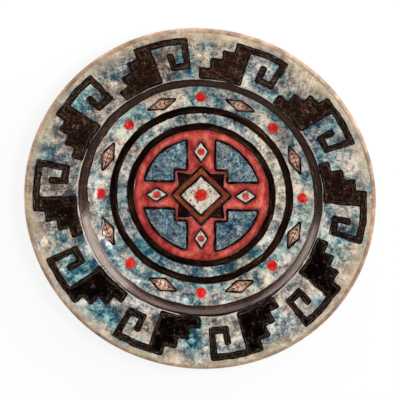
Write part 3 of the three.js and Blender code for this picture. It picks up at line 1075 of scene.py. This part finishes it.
def makeMedallion():
    panel, seed = panelPath(), medallion["seed"]
    arm = lozengePath(armLozenge["halfWidth"], armLozenge["halfLength"], armLozenge["radius"])
    dot = discPath(armLozenge["dotRadius"], armLozenge["radius"])
    corner = [(-wedge["halfWidth"], wedge["base"]), (0, wedge["tip"]), (wedge["halfWidth"], wedge["base"])]
    frameOut, frameIn = (lozengePath(centre[key], centre[key]) for key in ("frameReach", "fieldReach"))
    disc, outer = (discPath(radius) for radius in (centre["discRadius"], medallion["crossOuter"]))
    hollows = [turnedPath(path, i) for path in (panel, arm) for i in range(4)]
    cross = [outer] + hollows + [frameOut]
    laidFill("medallionCross", cross, "red", ["medallion_cross"], seed=seed)
    laidFill("medallionPanels", [panel], "blue", numbered("medallion_panel", 4), 4, seed=seed)
    laidStroke("panelLines", [panel], medallionLines["panel"], 4, seed=seed)
    laidFill("cornerWedges", [corner], "band", [], 4, 45.0, seed, "upper", 0.8)
    laidFill("armLozenges", [arm], "cream", numbered("arm_lozenge", 4), 4, seed=seed, spacing=0.8)
    laidStroke("armLines", [arm], medallionLines["arm"], 4, seed=seed)
    laidFill("armDots", [dot], "brightRed", [], 4, 0.0, seed, "upper", 0.7)
    laidFill("centreFrame", [frameOut, frameIn], "sienna", ["centre_frame"], seed=seed)
    laidFill("centreField", [frameIn], "cream", ["centre_field"], seed=seed)
    laidStroke("centreLines", [frameOut, frameIn], medallionLines["centre"], seed=seed)
    laidFill("centreDisc", [disc], "brightRed", ["centre_disc"], 1, 0.0, seed, "upper", 0.8)


makeRimFrets()
makeFloorBorder()
makeMedallion()


# The studio: a pale floor, soft lights and the camera

view = {
    "tilt": 15.81, "azimuth": 73.3, "distance": 2500, "target": (0.5, 0.9, 30.3), "lens": 264.9,
    "farthest": 20000,
}
backdropLevel = 0.98
softboxShare = 0.465  # how much of a softbox the glaze mirrors; the rest only lights the plate
lights = {  # at: azimuth, elevation and distance
    "keySoftbox": {"at": (20, 24, 1300), "size": (1150, 505), "radiance": 8.6},
    "keyHalo": {"at": (33, 23, 1350), "size": (2100, 560), "radiance": 2.2},
    "sideSoftbox": {"at": (92, 18, 1300), "size": (1500, 600), "radiance": 2.8},
    "fillSoftbox": {"at": (156, 13, 1400), "size": (1430, 440), "radiance": 6.0},
    "highLamp": {"at": (40, 63, 1600), "size": (300, 300), "radiance": 42, "share": 0},
    "lowLamp": {"at": (24, 6, 1300), "size": (2300, 180), "radiance": 6, "share": 0},  # it catches the lip
    # this one only makes the thin line of light along the shoulder
    "highStrip": {"at": (0, 60, 1600), "size": (1300, 100), "radiance": 18, "share": 1, "shines": False},
}
sky = {
    "plain": 0.5,
    "mirrored": (0.12, 0.015), "turn": (0.1, 0.65),  # the glaze sees walls that darken towards the ceiling
}
studioFloor = {
    "reach": 3000, "drop": 0.1, "grey": 0.9,
    "shadowed": (300, 900), "paleness": (0.85, 1.0),  # near the plate its shadow shows; far off all is white
    "hole": 84.5,  # under the foot, so that the plate's underside is lit
}


def direction(azimuth, elevation):
    flat = math.cos(math.radians(elevation))
    turn = math.radians(azimuth)
    return Vector((flat * math.cos(turn), flat * math.sin(turn), math.sin(math.radians(elevation))))


def makeLamp(name, light, radiance, mirrored):
    azimuth, elevation, distance = light["at"]
    width, height = light["size"]
    lamp = bpy.data.lights.new(name, "AREA")
    lamp.shape = "RECTANGLE"
    lamp.size, lamp.size_y = width * mm, height * mm
    lamp.energy = radiance * math.pi * lamp.size * lamp.size_y
    holder = addObject(name, lamp)
    away = direction(azimuth, elevation)
    holder.location = away * distance * mm
    holder.rotation_euler = away.to_track_quat("Z", "Y").to_euler()
    holder.visible_diffuse = light.get("shines", True)
    holder.visible_glossy = mirrored


# A softbox is two lamps in one place: the glaze mirrors the first, and both light the plate
def makeLights():
    for name, light in lights.items():
        share = light.get("share", softboxShare)
        if share > 0:
            makeLamp(name, light, light["radiance"] * share, True)
        if share < 1:
            makeLamp(name + "Matt", light, light["radiance"] * (1 - share), False)


def shadedBy(tree, amount, first, second):
    return addNode(tree, "ShaderNodeMixShader", {0: amount, 1: first, 2: second}).outputs[0]


def makeWorld():
    world = bpy.data.worlds.new("studio")
    bpy.context.scene.world = world
    world.use_nodes = True
    tree = world.node_tree
    tree.nodes.clear()
    rays = addNode(tree, "ShaderNodeLightPath").outputs
    up = axesOf(tree, addNode(tree, "ShaderNodeTexCoord").outputs["Generated"])[2]
    ceiling = mapped(tree, up, *sky["turn"], *sky["mirrored"], smooth=True)
    plain, seen, white = (
        addNode(tree, "ShaderNodeBackground", {"Color": (1, 1, 1, 1), "Strength": strength}).outputs[0]
        for strength in (sky["plain"], ceiling, backdropLevel)
    )
    mirrored = mathNode(tree, "MAXIMUM", rays["Is Glossy Ray"], rays["Is Transmission Ray"])
    glossy = shadedBy(tree, mirrored, plain, seen)
    shown = shadedBy(tree, rays["Is Camera Ray"], glossy, white)
    tree.links.new(shown, tree.nodes.new("ShaderNodeOutputWorld").inputs[0])


def makeFloor():
    material = bpy.data.materials.new("paleFloor")
    material.use_nodes = True
    tree = material.node_tree
    tree.nodes.clear()
    grey = studioFloor["grey"]
    matt = addNode(tree, "ShaderNodeBsdfDiffuse", {"Color": (grey, grey, grey, 1)}).outputs[0]
    white = addNode(tree, "ShaderNodeEmission", {"Color": (1, 1, 1, 1), "Strength": backdropLevel}).outputs[0]
    away = lengthOf(tree, objectPlace(tree))
    near, far = (distance * mm for distance in studioFloor["shadowed"])
    plain = mapped(tree, away, near, far, *studioFloor["paleness"])
    seen = addNode(tree, "ShaderNodeLightPath").outputs["Is Camera Ray"]
    above = shadedBy(tree, times(tree, seen, plain), matt, white)
    clear = addNode(tree, "ShaderNodeBsdfTransparent").outputs[0]
    facing = addNode(tree, "ShaderNodeNewGeometry").outputs["Backfacing"]  # seen from below, it is left out
    hole = mathNode(tree, "LESS_THAN", away, studioFloor["hole"] * mm)
    shown = shadedBy(tree, mathNode(tree, "MAXIMUM", facing, hole), above, clear)
    tree.links.new(shown, tree.nodes.new("ShaderNodeOutputMaterial").inputs[0])
    reach, drop = studioFloor["reach"] * mm, studioFloor["drop"] * mm
    corners = [(-reach, -reach, -drop), (reach, -reach, -drop), (reach, reach, -drop), (-reach, reach, -drop)]
    mesh = bpy.data.meshes.new("studioFloor")
    mesh.from_pydata(corners, [], [(0, 1, 2, 3)])
    mesh.materials.append(material)
    floor = addObject("studioFloor", mesh)


def makeCamera():
    lens = bpy.data.cameras.new("camera")
    lens.lens = view["lens"]
    lens.clip_end = view["farthest"] * mm
    camera = addObject("camera", lens)
    toward = direction(view["azimuth"], 90 - view["tilt"])
    camera.location = Vector(view["target"]) * mm + toward * view["distance"] * mm
    up = Vector((0, 1, 0)) - toward * toward.y
    right = up.cross(toward).normalized()
    camera.rotation_euler = Matrix((right, up.normalized(), toward)).transposed().to_euler()
    bpy.context.scene.camera = camera


makeLights()
makeWorld()
makeFloor()
makeCamera()
bpy.context.scene.view_settings.view_transform = "Standard"
print("studio ready")
